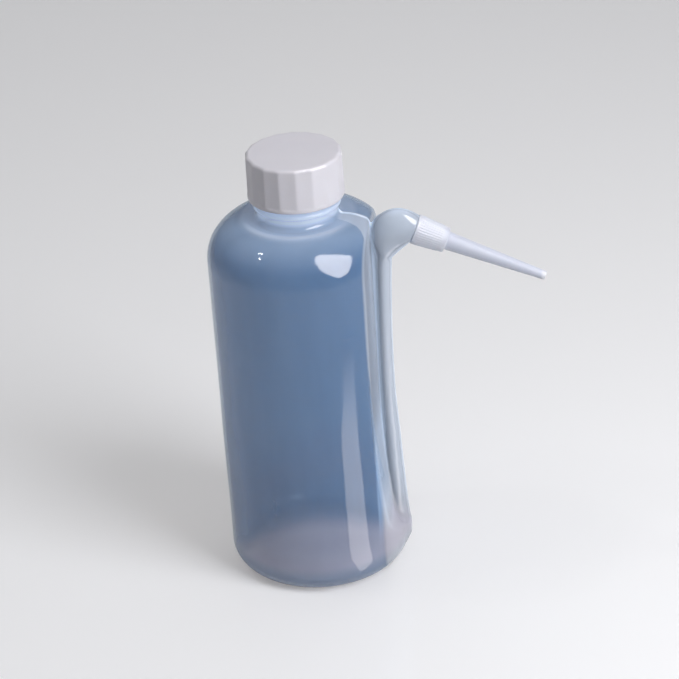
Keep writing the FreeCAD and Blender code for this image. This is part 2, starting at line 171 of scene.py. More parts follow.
# side tube: height, centre x, half width along x, half width along y
TUBE = np.array([
    (6.0, 34.0, 4.25, 4.0), (9.0, 34.3, 4.2, 4.0), (14.0, 34.75, 4.05, 3.95),
    (24.0, 34.35, 3.6, 3.55), (41.0, 33.5, 3.5, 3.45), (58.0, 32.8, 3.35, 3.3),
    (78.0, 32.15, 3.0, 2.95), (104.0, 32.3, 2.85, 2.8), (124.0, 32.85, 2.92, 2.9),
    (131.0, 33.1, 2.98, 2.98), (137.6, 33.38, 3.1, 3.1),
])
TUBE_X = curve(TUBE[:, [0, 1]])
TUBE_HALF_X = curve(TUBE[:, [0, 2]])
TUBE_HALF_Y = curve(TUBE[:, [0, 3]])

# elbow, by degrees round the pivot from +X towards +Z: distance of its near side from the
# pivot, distance of its far side, half width along y
BEND_NEAR = curve([
    (68.2, 8.80), (72.0, 7.35), (80.0, 5.79), (90.0, 4.74), (105.0, 3.88), (120.0, 3.50),
    (134.0, 3.40), (150.0, 3.55), (165.0, 3.95), (175.0, 4.28), (180.0, 4.36),
])
BEND_FAR = curve([
    (68.2, 20.06), (70.2, 20.25), (76.4, 20.95), (84.3, 21.67), (92.2, 22.05), (100.0, 22.02),
    (107.9, 21.55), (115.8, 20.75), (123.7, 19.56), (131.8, 18.05), (137.4, 16.95),
    (144.6, 15.1), (155.1, 12.65), (167.0, 11.15), (174.7, 10.62), (180.0, 10.56),
])
BEND_HALF_Y = curve([
    (68.2, 5.63), (80, 5.63), (90, 5.6), (105, 5.5), (120, 5.25), (135, 4.8), (150, 4.2),
    (165, 3.5), (180, 3.1),
])


def oval_distance(u, half_u, v, half_v, extra=0.0):
    """Distance-like value of an ellipse at offset (u, v). extra closes its end."""
    g = np.sqrt((u / half_u) ** 2 + (v / half_v) ** 2 + extra)
    slope = np.sqrt((u / half_u**2) ** 2 + (v / half_v**2) ** 2 + extra / (half_u * half_u))
    return (g - 1) * g / (slope + 1e-9)


def from_elbow_end(x, z, direction):
    """Distance along a direction in the XZ plane, from the elbow's end."""
    return (x - ELBOW_END[0]) * direction[0] + (z - ELBOW_END[2]) * direction[2]


def tube_distance(x, y, z, inset):
    """Side tube, elbow and the elbow's round end, as one swept oval."""
    foot = np.maximum(9.2 - z, 0) / (4.2 - inset)
    tube = oval_distance(
        x - TUBE_X(z), TUBE_HALF_X(z) - inset, y, TUBE_HALF_Y(z) - inset, foot**2
    )
    from_x, from_z = x - PIVOT_X, z - PIVOT_Z
    turn = np.degrees(np.arctan2(from_z, from_x))
    turn = np.where(turn < -90, turn + 360, turn)
    near, far = BEND_NEAR(turn), BEND_FAR(turn)
    bend = oval_distance(
        np.hypot(from_x, from_z) - (near + far) / 2, (far - near) / 2 - inset,
        y, BEND_HALF_Y(turn) - inset,
    )
    end = np.hypot(y, from_elbow_end(x, z, NOZZLE_UP)) - (ELBOW_R - inset)
    above = z > PIVOT_Z
    past = (from_elbow_end(x, z, NOZZLE_DIR) > 0) & above
    return np.where(past, end, np.where(above, bend, tube))


WEB_HALF, WEB_BOTTOM, WEB_TOP = 0.62, 15.0, 151.0


def web_distance(x, y, z):
    """The pinched web between the flat and the tube."""
    outer_x = np.where(z < PIVOT_Z, TUBE_X(z), 31.6)
    below = np.where(z < WEB_BOTTOM, WEB_BOTTOM - z, -9.0)
    across = np.maximum(np.abs(y) - WEB_HALF, x - outer_x)
    ends = np.maximum(np.maximum(flat_x(z) - 0.9 - x, z - WEB_TOP), below)
    return np.maximum(across, ends)


# unevenness of a blown wall: height, waves per turn, phase per mm of height, phase
WAVES = [(0.050, 3, 0.052, 0.7), (0.035, 5, -0.081, 2.1), (0.030, 2, 0.115, 1.3),
         (0.018, 9, 0.043, 0.2)]


def waves(x, y, z):
    angle = np.arctan2(y, x)
    uneven = sum(size * np.sin(n * angle + z * rate + phase) for size, n, rate, phase in WAVES)
    return uneven * step((z - 8) / 12) * step((156 - z) / 10)


def body_distance(x, y, z, inset, edge_r, neck_r, wave_share):
    """Body with its flat and neck, without the tube."""
    r = np.hypot(x, y)
    body = round_max(turned_distance(r, z, inset), flat_distance(x, z, inset), edge_r)
    body = body - waves(x, y, z) * wave_share
    neck = np.where(z > 150, r - neck_r, FAR)
    return smooth_min(body, neck, 2.1)


def trim(distance, x, z, end):
    """Cuts the elbow square at a place along its axis, and the neck at the cut height."""
    beyond = from_elbow_end(x, z, NOZZLE_DIR) - end
    distance = np.maximum(distance, np.where((z > PIVOT_Z) & (x > 40.0), beyond, -FAR))
    return np.maximum(distance, z - CUT_Z)


def outer_wall(p):
    x, y, z = p[:, 0], p[:, 1], p[:, 2]
    d = body_distance(x, y, z, inset=0.0, edge_r=1.25, neck_r=NECK_R, wave_share=1.0)
    d = smooth_min(d, web_distance(x, y, z), 1.5)
    # the tube's fillet widens towards the foot
    d = smooth_min(d, tube_distance(x, y, z, 0.0), 1.1 + 2.2 * step((30 - z) / 14))
    # parting line: strong over the shoulder on the tube side, faint round the rest
    over = step((x - 15.0) / 2.0) * step((z - 134.0) / 6.0) * step((34.0 - x) / 3.0)
    faint = step((np.hypot(x, y) - 12.0) / 8.0)
    d = d - np.exp(-((y / 0.40) ** 2)) * (0.42 * over + 0.07 * faint)
    # a fine raised line where the shoulder insert met the body of the mould
    line = np.exp(-(((z - 118.6 - 0.02 * y) / 0.35) ** 2))
    d = d - 0.06 * line * step((-x - y * 0.2 + 34) / 20)
    return trim(d, x, z, 0.0)


def inner_wall(p):
    x, y, z = p[:, 0], p[:, 1], p[:, 2]
    d = body_distance(x, y, z, inset=WALL, edge_r=1.1, neck_r=NECK_BORE, wave_share=0.8)
    d = smooth_min(d, tube_distance(x, y, z, TUBE_WALL), 0.9)
    return trim(d, x, z, -WALL)


# ---------------------------------------------------------------------------------------------
# polygonising: surface nets on an uneven grid, then every vertex pulled onto the exact surface
# ---------------------------------------------------------------------------------------------
def surface_net(f, xs, ys, zs):
    """Vertices, quads and the size of each vertex's cell, for the surface where f is 0."""
    xs, ys, zs = (np.array(a, float) for a in (xs, ys, zs))
    shape = (len(xs), len(ys), len(zs))
    grid = np.stack(np.meshgrid(xs, ys, zs, indexing="ij"), -1)
    values = f(grid.reshape(-1, 3)).reshape(shape)
    cells = tuple(n - 1 for n in shape)
    total = np.zeros(cells + (3,))
    count = np.zeros(cells)
    crossings = []
    for axis in range(3):
        first, second = [slice(None)] * 3, [slice(None)] * 3
        first[axis], second[axis] = slice(0, shape[axis] - 1), slice(1, shape[axis])
        first, second = tuple(first), tuple(second)
        cross = (values[first] < 0) != (values[second] < 0)
        index = np.argwhere(cross)
        value_a, value_b = values[first][cross], values[second][cross]
        start, end = grid[first][cross], grid[second][cross]
        point = start + (end - start) * (value_a / (value_a - value_b))[:, None]
        side1, side2 = [k for k in range(3) if k != axis]
        for back1 in (0, 1):
            for back2 in (0, 1):
                cell = index.copy()
                cell[:, side1] -= back1
                cell[:, side2] -= back2
                ok = (cell >= 0).all(1) & (cell < np.array(cells)).all(1)
                np.add.at(total, tuple(cell[ok].T), point[ok])
                np.add.at(count, tuple(cell[ok].T), 1)
        crossings.append((axis, side1, side2, index, value_a < 0))

    used = count > 0
    number = -np.ones(cells, int)
    number[used] = np.arange(used.sum())
    verts = total[used] / count[used][:, None]
    spacing = np.meshgrid(np.diff(xs), np.diff(ys), np.diff(zs), indexing="ij")
    size = np.stack(spacing, -1)[used]

    quads = []
    for axis, side1, side2, index, inside_first in crossings:
        ok = (index[:, side1] > 0) & (index[:, side2] > 0)
        ok &= (index[:, side1] < cells[side1]) & (index[:, side2] < cells[side2])
        index, inside_first = index[ok], inside_first[ok]
        corners = []
        for back1, back2 in ((0, 0), (1, 0), (1, 1), (0, 1)):
            cell = index.copy()
            cell[:, side1] -= back1
            cell[:, side2] -= back2
            corners.append(number[tuple(cell.T)])
        quad = np.stack(corners, 1)
        turn = inside_first if axis != 1 else ~inside_first
        quad[turn] = quad[turn][:, ::-1]
        quads.append(quad)
    return verts, np.concatenate(quads), size


def gradient(f, p, reach=0.02):
    slope = np.zeros_like(p)
    for k in range(3):
        shift = np.zeros(3)
        shift[k] = reach
        slope[:, k] = (f(p + shift) - f(p - shift)) / (2 * reach)
    return slope


def pull(f, p, size, rounds):
    """Newton steps onto the surface, each at most a share of the vertex's cell."""
    for _ in range(rounds):
        slope = gradient(f, p)
        move = -(f(p) / np.maximum((slope * slope).sum(1), 0.05))[:, None] * slope
        limit = 0.6 * size.max(1)[:, None]
        length = np.linalg.norm(move, axis=1)[:, None] + 1e-12
        p = p + move * np.minimum(1, limit / length)
    return p


def quad_edges(quads):
    return np.concatenate([quads[:, [k, (k + 1) % 4]] for k in range(4)])


def relax(f, p, quads, size, fixed, rounds):
    """Evens out the net along the surface, leaving fixed vertices where they are."""
    edges = np.unique(np.sort(quad_edges(quads), 1), axis=0)
    degree = np.bincount(edges.ravel(), minlength=len(p)).astype(float)
    for _ in range(rounds):
        total = np.zeros_like(p)
        np.add.at(total, edges[:, 0], p[edges[:, 1]])
        np.add.at(total, edges[:, 1], p[edges[:, 0]])
        mean = total / np.maximum(degree, 1)[:, None]
        slope = gradient(f, p)
        normal = slope / (np.linalg.norm(slope, axis=1)[:, None] + 1e-9)
        move = (mean - p) * 0.5
        move -= normal * (move * normal).sum(1)[:, None]
        move[fixed] = 0
        p = p + move
        p = np.where(fixed[:, None], p, pull(f, p, size, 1))
    return p


def spread(stops):
    """Grid lines from (position, spacing) stops, the spacing changing evenly between them."""
    lines = [stops[0][0]]
    places, spacings = zip(*stops)
    while lines[-1] < stops[-1][0] - 1e-6:
        lines.append(lines[-1] + np.interp(lines[-1], places, spacings))
    return lines


def mirrored(stops):
    half = spread(stops)
    return [-v for v in half[::-1]] + half


def open_loops(quads):
    """The open edge loops of a quad set, as ordered vertex lists."""
    edges = quad_edges(quads)
    _, first, count = np.unique(
        np.sort(edges, 1), axis=0, return_index=True, return_counts=True
    )
    following = {int(edges[i][0]): int(edges[i][1]) for i in first[count == 1]}
    loops = []
    while following:
        start = next(iter(following))
        loop = [start]
        current = following.pop(start)
        while current != start:
            loop.append(current)
            if current not in following:
                raise RuntimeError("open edge does not close")
            current = following.pop(current)
        loops.append(loop)
    return loops


def polygonise(f, grid, openings):
    """A net of f, open at the given (centre, axes, radius) circles.

    Returns the vertices, the quads and, for each opening, its rim in rising angle with the angles.
    """
    verts, quads, size = surface_net(f, *grid)
    verts = pull(f, verts, size, 5)
    caps = []
    near_cap = np.zeros(len(verts), bool)
    for centre, axes, radius in openings:
        height = (verts - centre) @ axes[2]
        out = np.linalg.norm((verts - centre) - height[:, None] * axes[2], axis=1)
        caps.append((np.abs(height) < 2e-3) & (out < radius + 1.0))
        near_cap |= (np.abs(height) < 1.2) & (out < radius + 1.5)
    verts = relax(f, verts, quads, size, near_cap, 3)
    verts = pull(f, verts, size, 2)

    drop = np.zeros(len(quads), bool)
    for cap in caps:
        drop |= cap[quads].all(1)
    quads = quads[~drop]
    keep = np.zeros(len(verts), bool)
    keep[quads.ravel()] = True
    number = np.cumsum(keep) - 1
    verts, quads = verts[keep], number[quads]

    loops = open_loops(quads)
    if len(loops) != len(openings):
        raise RuntimeError("net has %d rims, not %d" % (len(loops), len(openings)))
    rims = {}
    for loop in loops:
        middle = verts[loop].mean(0)
        which = min(
            range(len(openings)), key=lambda k: np.linalg.norm(middle - openings[k][0])
        )
        centre, axes, radius = openings[which]
        # snap the loop to the exact circle
        spoke = verts[loop] - centre
        spoke = spoke - (spoke @ axes[2])[:, None] * axes[2]
        verts[loop] = centre + spoke / np.linalg.norm(spoke, axis=1)[:, None] * radius
        spoke = verts[loop] - centre
        angles = np.arctan2(spoke @ axes[1], spoke @ axes[0])
        order = np.argsort(angles)
        rims[which] = ([loop[i] for i in order], angles[order])
    return verts, quads, [rims[k] for k in range(len(openings))]


# ---------------------------------------------------------------------------------------------
# mesh building
# ---------------------------------------------------------------------------------------------
class Builder:
    """Collects vertices and faces of one mesh."""

    def __init__(self):
        self.points, self.faces = [], []

    def add(self, points):
        first = len(self.points)
        self.points.extend(np.asarray(points, float))
        return list(range(first, len(self.points)))

    def add_net(self, points, quads):
        """Adds a quad net and returns the number of its first vertex."""
        first = len(self.points)
        self.add(points)
        self.faces += (quads + first).tolist()
        return first

    def rings(self, angles, profile, axes=WORLD_AXES, origin=ORIGIN):
        """A ring for each (radius, height). A radius may be one number or one per angle."""
        return [
            self.add(
                origin
                + np.outer(np.cos(angles) * radius, axes[0])
                + np.outer(np.sin(angles) * radius, axes[1])
                + height * axes[2]
            )
            for radius, height in profile
        ]

    def bridge(self, a, b):
        for i in range(len(a)):
            j = (i + 1) % len(a)
            self.faces.append((a[i], a[j], b[j], b[i]))

    def bridge_rows(self, rows):
        for a, b in zip(rows, rows[1:]):
            self.bridge(a, b)

    def zipper(self, a, angles_a, b, angles_b):
        """Joins two rings with different vertex counts, both in rising angle."""
        next_a = [*angles_a[1:], angles_a[0] + 2 * math.pi, math.inf]
        next_b = [*angles_b[1:], angles_b[0] + 2 * math.pi, math.inf]
        i = j = 0
        while i < len(a) or j < len(b):
            at_a, at_b = a[i % len(a)], b[j % len(b)]
            if next_a[i] <= next_b[j]:
                self.faces.append((at_a, a[(i + 1) % len(a)], at_b))
                i += 1
            else:
                self.faces.append((at_a, b[(j + 1) % len(b)], at_b))
                j += 1

    def fan(self, ring, centre):
        middle = self.add([centre])[0]
        for i in range(len(ring)):
            self.faces.append((ring[i], ring[(i + 1) % len(ring)], middle))


def full_turn(steps):
    return np.linspace(-math.pi, math.pi, steps, endpoint=False)


def thread_height(angles, z, start_z, turns, height, root_width, crest_width):
    """Height of a helical ridge at (angles, z). It fades in and out over a sixth of a turn."""
    share = np.zeros_like(angles)
    turned = np.mod(angles, 2 * math.pi)
    for n in range(-1, int(turns) + 3):
        t = turned / (2 * math.pi) + n
        live = step((t + 0.02) / 0.16) * step((turns + 0.02 - t) / 0.16)
        off_middle = np.abs(z - (start_z + THREAD_PITCH * t))
        flank = (root_width / 2 - off_middle) / (root_width / 2 - crest_width / 2)
        flank = np.clip(flank, 0, 1)
        flank = flank * flank * (3 - 2 * flank) * 0.35 + flank * 0.65
        share = np.maximum(share, flank * live)
    return share * height


def mesh_object(name, points, faces):
    """A linked mesh object from points in millimetres."""
    mesh = bpy.data.meshes.new(name)
    mesh.from_pydata((np.array(points, float) * MM).tolist(), [], faces)
    mesh.update()
    obj = bpy.data.objects.new(name, mesh)
    bpy.context.scene.collection.objects.link(obj)
    return obj


def add_piece(builder, name, body, node):
    """Makes a closed, outward-facing, smooth object and tells the frame about it."""
    piece = mesh_object(name, builder.points, builder.faces)
    bm = bmesh.new()
    bm.from_mesh(piece.data)
    # hair-thin gaps where two rings with different vertex counts meet
    gaps = [e for e in bm.edges if len(e.link_faces) == 1]
    if gaps:
        bmesh.ops.holes_fill(bm, edges=gaps, sides=8)
    bmesh.ops.recalc_face_normals(bm, faces=bm.faces)
    if bm.calc_volume(signed=True) < 0:
        bmesh.ops.reverse_faces(bm, faces=bm.faces)
    for face in bm.faces:
        face.smooth = True
    bm.to_mesh(piece.data)
    bm.free()
    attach(piece, body)
    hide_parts(node)
    return piece


# ---------------------------------------------------------------------------------------------
# bottle: polygonised walls, turned neck, turned stub on the elbow
# ---------------------------------------------------------------------------------------------
# grid lines as (position, spacing) stops, finest at the tube, the seam and the mould line
GRID = (
    spread([(-39.6, 2.2), (-20, 2.2), (10, 1.7), (20, 1.1), (26, 0.62), (46, 0.62), (50, 0.8)]),
    mirrored([(0.11, 0.24), (0.9, 0.28), (3.0, 0.55), (7.0, 0.62), (12, 1.3), (24, 1.7),
              (39.5, 2.2)]),
    spread([(-0.9, 0.7), (10, 1.0), (24, 1.4), (60, 2.6), (110, 2.4), (117, 0.45),
            (120.4, 0.45), (122, 1.2), (134, 0.9), (140, 0.7), (158, 0.6), (161.2, 0.6)]),
)

# neck outlines as (radius, z): collar below the thread, rim and bore above it
NECK_COLLAR = [
    (16.4, 160.9), (16.4, 162.0), (16.55, 162.25), (17.15, 162.45), (17.5, 162.7),
    (17.6, 163.05), (17.6, 163.75), (17.5, 164.1), (17.2, 164.3), (16.4, 164.5),
    (16.08, 164.68), (16.0, 165.0),
]
NECK_RIM = [
    (16.0, 180.5), (15.92, 180.78), (15.74, 180.98), (15.45, 181.08), (15.2, 181.1),
    (14.95, 181.05), (14.72, 180.9), (14.62, 180.6), (14.6, 180.0), (14.6, 175.0),
    (14.6, 168.0), (14.6, 161.2),
]

# stub outlines as (radius, distance past the elbow's end): root, then tip and bore
STUB_ROOT = [(5.45, 0.02), (5.0, 0.03), (4.9, 0.12), (4.88, 0.5)]
STUB_TIP_AND_BORE = [
    (4.39, 10.35), (4.25, 10.5), (4.1, 10.55), (3.5, 10.55), (3.35, 10.5), (3.3, 10.35),
    (3.3, 7.0), (3.3, 3.0), (3.3, 0.0), (3.32, -1.1), (3.5, -1.27), (4.2, -WALL),
]


def neck_profile(angles):
    thread = [
        (
            THREAD_ROOT_R + thread_height(
                angles, z, start_z=170.2, turns=1.5, height=THREAD_CREST_R - THREAD_ROOT_R,
                root_width=2.1, crest_width=0.75,
            ),
            z,
        )
        for z in np.arange(165.6, 180.2, 0.3)
    ]
    return NECK_COLLAR + thread + NECK_RIM


def stub_profile():
    taper = [(4.9 - 0.465 * (s + 0.05) / 10.6, s) for s in (2.5, 5.0, 7.5, 9.8)]
    return STUB_ROOT + taper + STUB_TIP_AND_BORE


def build_bottle():
    cut = np.array([0, 0, CUT_Z])
    inner_end = ELBOW_END - WALL * NOZZLE_DIR
    outer = polygonise(
        outer_wall, GRID, [(cut, WORLD_AXES, NECK_R), (ELBOW_END, NOZZLE_AXES, ELBOW_R)]
    )
    inner = polygonise(
        inner_wall, GRID,
        [(cut, WORLD_AXES, NECK_BORE), (inner_end, NOZZLE_AXES, ELBOW_R - TUBE_WALL)],
    )
    b = Builder()
    rims = []
    for verts, quads, wall_rims in (outer, inner):
        first = b.add_net(verts, quads)
        rims.append([([i + first for i in ids], angles) for ids, angles in wall_rims])

    # each turned part leads from an outer rim over its end and back to the inner rim
    neck_angles, stub_angles = full_turn(192), full_turn(72)
    turned = [
        (neck_angles, neck_profile(neck_angles), WORLD_AXES, ORIGIN),
        (stub_angles, stub_profile(), NOZZLE_AXES, ELBOW_END),
    ]
    for (angles, profile, axes, origin), outer_rim, inner_rim in zip(turned, *rims):
        rows = b.rings(angles, profile, axes, origin)
        b.zipper(*outer_rim, rows[0], angles)
        b.bridge_rows(rows)
        b.zipper(rows[-1], angles, *inner_rim)
    return b


# ---------------------------------------------------------------------------------------------
# cap: eighteen shallow hollow facets with softened corners, plain foot band, thread inside
# ---------------------------------------------------------------------------------------------
CAP_FOOT, CAP_TOP = 166.2, 184.7
CAP_PLATE = CAP_TOP - 1.5  # underside of the top plate
CAP_R = 19.5
CAP_BORE = 17.75
FACETS = 18
FACET_R, FACET_CENTRE = 37.0, 56.05  # each facet's hollow arc and its centre's radius

# outside from the foot up: nominal radius, z, share of faceting
CAP_OUTSIDE = [
    (18.15, CAP_FOOT + 0.02, 0), (18.7, CAP_FOOT, 0), (18.95, CAP_FOOT + 0.05, 0),
    (19.18, CAP_FOOT + 0.2, 0), (19.3, CAP_FOOT + 0.45, 0), (19.34, CAP_FOOT + 1.1, 0),
    (19.36, CAP_FOOT + 1.5, 0.12), (19.44, CAP_FOOT + 1.8, 0.6), (CAP_R, CAP_FOOT + 2.1, 0.95),
    (CAP_R, CAP_FOOT + 2.5, 1), (19.47, CAP_FOOT + 6, 1), (19.42, CAP_FOOT + 10, 1),
    (19.36, CAP_FOOT + 14, 1), (19.31, CAP_TOP - 1.9, 1), (19.3, CAP_TOP - 1.5, 1),
    (19.27, CAP_TOP - 1.15, 1), (19.18, CAP_TOP - 0.82, 1), (19.02, CAP_TOP - 0.53, 1),
    (18.79, CAP_TOP - 0.3, 1), (18.5, CAP_TOP - 0.14, 1), (18.15, CAP_TOP - 0.04, 1),
    (17.8, CAP_TOP, 1), (17.2, CAP_TOP, 0.9), (15.0, CAP_TOP, 0.5), (10.0, CAP_TOP, 0.1),
    (5.0, CAP_TOP, 0),
]
# inside as (radius, z): lead-in below the thread, then corner and plate above it
CAP_LEAD_IN = [(18.0, CAP_FOOT + 0.06), (17.8, CAP_FOOT + 0.3), (CAP_BORE, CAP_FOOT + 0.6)]
CAP_CEILING = [
    (CAP_BORE, CAP_TOP - 2.6), (17.72, CAP_TOP - 1.8), (17.6, CAP_TOP - 1.58),
    (17.3, CAP_PLATE), (12.0, CAP_PLATE), (5.0, CAP_PLATE),
]


def facet_radius(angles):
    """Radius of the faceted outline. The corners between facets are rounded off."""
    half = math.radians(360 / FACETS / 2)
    a = np.mod(angles, math.radians(360 / FACETS)) - half
    corner = np.sqrt((half - np.abs(a)) ** 2 + math.radians(1.9) ** 2) + math.radians(0.25)
    a = np.sign(a) * (half - corner)
    return FACET_CENTRE * np.cos(a) - np.sqrt(FACET_R**2 - (FACET_CENTRE * np.sin(a)) ** 2)


def build_cap():
    angles = full_turn(FACETS * 20)
    hollow = facet_radius(angles) - CAP_R
    b = Builder()
    outside = b.rings(angles, [(r + hollow * share, z) for r, z, share in CAP_OUTSIDE])
    b.bridge_rows(outside)
    b.fan(outside[-1], [0, 0, CAP_TOP])
    thread = [
        (
            CAP_BORE - thread_height(
                angles, z, start_z=168.2, turns=1.4, height=1.3, root_width=2.0, crest_width=0.7
            ),
            z,
        )
        for z in np.arange(CAP_FOOT + 0.8, CAP_TOP - 3.2, 0.3)
    ]
    inside = b.rings(angles, CAP_LEAD_IN + thread + CAP_CEILING)
    b.bridge_rows(inside)
    b.fan(inside[-1], [0, 0, CAP_PLATE])
    b.bridge(inside[0], outside[0])
    return b


def build_liner():
    """Flat disc with rounded rims."""
    bottom, top = 181.15, 183.1
    b = Builder()
    rows = b.rings(full_turn(160), [
        (6, bottom), (12, bottom), (16.0, bottom), (17.05, bottom), (17.22, bottom + 0.06),
        (17.3, bottom + 0.2), (17.3, top - 0.2), (17.22, top - 0.06), (17.05, top),
        (14.0, top), (7, top),
    ])
    b.fan(rows[0], [0, 0, bottom])
    b.bridge_rows(rows)
    b.fan(rows[-1], [0, 0, top])
    return b


# ---------------------------------------------------------------------------------------------
# nozzle: collar with fine grip ribs, rounded step, long tapered spout, bored right through
# ---------------------------------------------------------------------------------------------
COLLAR_LEN, NOZZLE_LEN = 13.3, 55.1
RIBS = 36
SPOUT_START, SPOUT_R, TIP_R = 13.7, 3.73, 1.80

# outlines as (radius, distance from the nozzle's foot)
NOZZLE_FOOT = [(4.98, 0.0), (5.3, 0.0), (5.75, 0.0), (5.93, 0.05), (6.05, 0.2), (6.1, 0.45)]
NOZZLE_STEP = [
    (5.125, COLLAR_LEN - 0.45), (5.105, COLLAR_LEN - 0.28), (5.03, COLLAR_LEN - 0.13),
    (4.9, COLLAR_LEN - 0.04), (4.7, COLLAR_LEN), (4.3, COLLAR_LEN + 0.02),
    (3.98, COLLAR_LEN + 0.06), (3.84, COLLAR_LEN + 0.16), (3.765, COLLAR_LEN + 0.35),
    (3.74, COLLAR_LEN + 0.7),
]
NOZZLE_TIP = [
    (1.82, NOZZLE_LEN - 0.3), (1.78, NOZZLE_LEN - 0.12), (1.68, NOZZLE_LEN - 0.03),
    (1.5, NOZZLE_LEN), (1.15, NOZZLE_LEN), (0.98, NOZZLE_LEN - 0.03), (0.9, NOZZLE_LEN - 0.12),
]
NOZZLE_BORE = [
    (0.9, NOZZLE_LEN - 2.0), (0.9, NOZZLE_LEN - 4.0), (1.15, NOZZLE_LEN - 10.0),
    (1.6, NOZZLE_LEN - 20.0), (2.1, NOZZLE_LEN - 31.0), (2.5, COLLAR_LEN + 2.5),
    (2.6, COLLAR_LEN + 1.0), (2.75, COLLAR_LEN + 0.2), (3.0, 11.62), (3.4, 11.5),
    (4.2, 11.45), (4.4, 11.35), (4.452, 11.1), (4.55, 9.0), (4.66, 6.5), (4.77, 4.0),
    (4.88, 1.5), (4.92, 0.4),
]


def grip_radius(angles, along):
    """Tapered collar with ribs that fade out at both ends."""
    taper = 6.1 - 0.98 * (along - 0.35) / (COLLAR_LEN - 0.7)
    live = step((along - 1.2) / 0.5) * step((11.2 - along) / 0.5)
    rib = np.clip(np.cos(angles * RIBS) + 0.25, -0.75, 1.25) - 0.2
    return taper + live * 0.08 * rib


def build_nozzle():
    angles = full_turn(RIBS * 8)
    grip = [(grip_radius(angles, s), s) for s in np.linspace(0.9, 12.6, 32)]
    slope = SPOUT_R - TIP_R
    spout = [
        (SPOUT_R - slope * (s - SPOUT_START) / (NOZZLE_LEN - SPOUT_START), s)
        for s in np.linspace(COLLAR_LEN + 3, NOZZLE_LEN - 1.0, 14)
    ]
    profile = NOZZLE_FOOT + grip + NOZZLE_STEP + spout + NOZZLE_TIP + NOZZLE_BORE
    b = Builder()
    rows = b.rings(angles, profile, NOZZLE_AXES, ELBOW_END + 0.1 * NOZZLE_DIR)
    b.bridge_rows(rows)
    b.bridge(rows[-1], rows[0])
    return b


bottle = add_piece(
    build_bottle(), name="bottle_wall", body="bottle", node="bottle"
)
cap = add_piece(build_cap(), name="screw_cap", body="cap", node="cap")
liner = add_piece(
    build_liner(), name="sealing_liner", body="liner", node="cap_liner"
)
nozzle = add_piece(
    build_nozzle(), name="push_on_nozzle", body="nozzle", node="nozzle"
)


# ---------------------------------------------------------------------------------------------
# materials
# ---------------------------------------------------------------------------------------------
def srgb(r, g, b):
    def linear(c):
        c /= 255.0
        return c / 12.92 if c <= 0.04045 else ((c + 0.055) / 1.055) ** 2.4

    return (linear(r), linear(g), linear(b), 1.0)


class Tree:
    """Short-hand for building a node material. Most methods return an output socket."""

    def __init__(self, name):
        self.material = bpy.data.materials.new(name)
        self.material.use_nodes = True
        self.tree = self.material.node_tree
        self.tree.nodes.clear()

    def node(self, kind, inputs=None, **props):
        node = self.tree.nodes.new(kind)
        for key, value in props.items():
            setattr(node, key, value)
        for key, value in (inputs or {}).items():
            if isinstance(value, bpy.types.NodeSocket):
                self.tree.links.new(value, node.inputs[key])
            else:
                node.inputs[key].default_value = value
        return node

    def out(self, kind, inputs=None, **props):
        return self.node(kind, inputs, **props).outputs[0]

    def math(self, operation, a, b=0.0, clamp=False):
        return self.out("ShaderNodeMath", {0: a, 1: b}, operation=operation, use_clamp=clamp)

    def chain(self, operation, first, *rest):
        for value in rest:
            first = self.math(operation, first, value)
        return first

    def times(self, *values):
        return self.chain("MULTIPLY", *values)

    def plus(self, *values):
        return self.chain("ADD", *values)

    def largest(self, *values):
        return self.chain("MAXIMUM", *values)

    def minus(self, a, b):
        return self.math("SUBTRACT", a, b)

    def invert(self, value, clamp=False):
        return self.math("SUBTRACT", 1.0, value, clamp)

    def mix(self, factor, a, b):
        """Colour mix."""
        return self.node("ShaderNodeMix", {0: factor, 6: a, 7: b}, data_type="RGBA").outputs[2]

    def mix_vector(self, factor, a, b):
        return self.node("ShaderNodeMix", {0: factor, 4: a, 5: b}, data_type="VECTOR").outputs[1]

    def mix_shader(self, factor, a, b):
        return self.out("ShaderNodeMixShader", {0: factor, 1: a, 2: b})

    def fade(self, value, start, end, smooth=True):
        """0 at start, 1 at end. start may be the larger."""
        props = {"interpolation_type": "SMOOTHSTEP"} if smooth else {}
        inputs = {"Value": value, "From Min": start, "From Max": end}
        return self.out("ShaderNodeMapRange", inputs, **props)

    def grey_ramp(self, factor, stops):
        """A ramp through (position, grey level) stops."""
        node = self.node("ShaderNodeValToRGB", {"Fac": factor})
        elements = node.color_ramp.elements
        while len(elements) < len(stops):
            elements.new(0.5)
        for element, (position, grey) in zip(elements, stops):
            element.position = position
            element.color = (grey, grey, grey, 1)
        return node.outputs["Color"]

    def noise(self, vector, scale, detail, roughness):
        inputs = {"Vector": vector, "Scale": scale, "Detail": detail, "Roughness": roughness}
        return self.node("ShaderNodeTexNoise", inputs).outputs["Fac"]

    def stretch(self, vector, factors):
        return self.out("ShaderNodeVectorMath", {0: vector, 1: factors}, operation="MULTIPLY")

    def bump(self, height, strength, distance):
        inputs = {"Height": height, "Strength": strength, "Distance": distance}
        return self.out("ShaderNodeBump", inputs)

    def length(self, vector):
        node = self.node("ShaderNodeVectorMath", {0: vector}, operation="LENGTH")
        return node.outputs["Value"]

    def coords(self):
        return self.node("ShaderNodeTexCoord").outputs["Object"]

    def facing(self):
        return self.node("ShaderNodeLayerWeight", {"Blend": 0.5}).outputs["Facing"]

    def geometry(self, output):
        return self.node("ShaderNodeNewGeometry").outputs[output]

    def light_path(self, output):
        return self.node("ShaderNodeLightPath").outputs[output]

    def finish(self, surface):
        self.node("ShaderNodeOutputMaterial", {"Surface": surface})
        return self.material


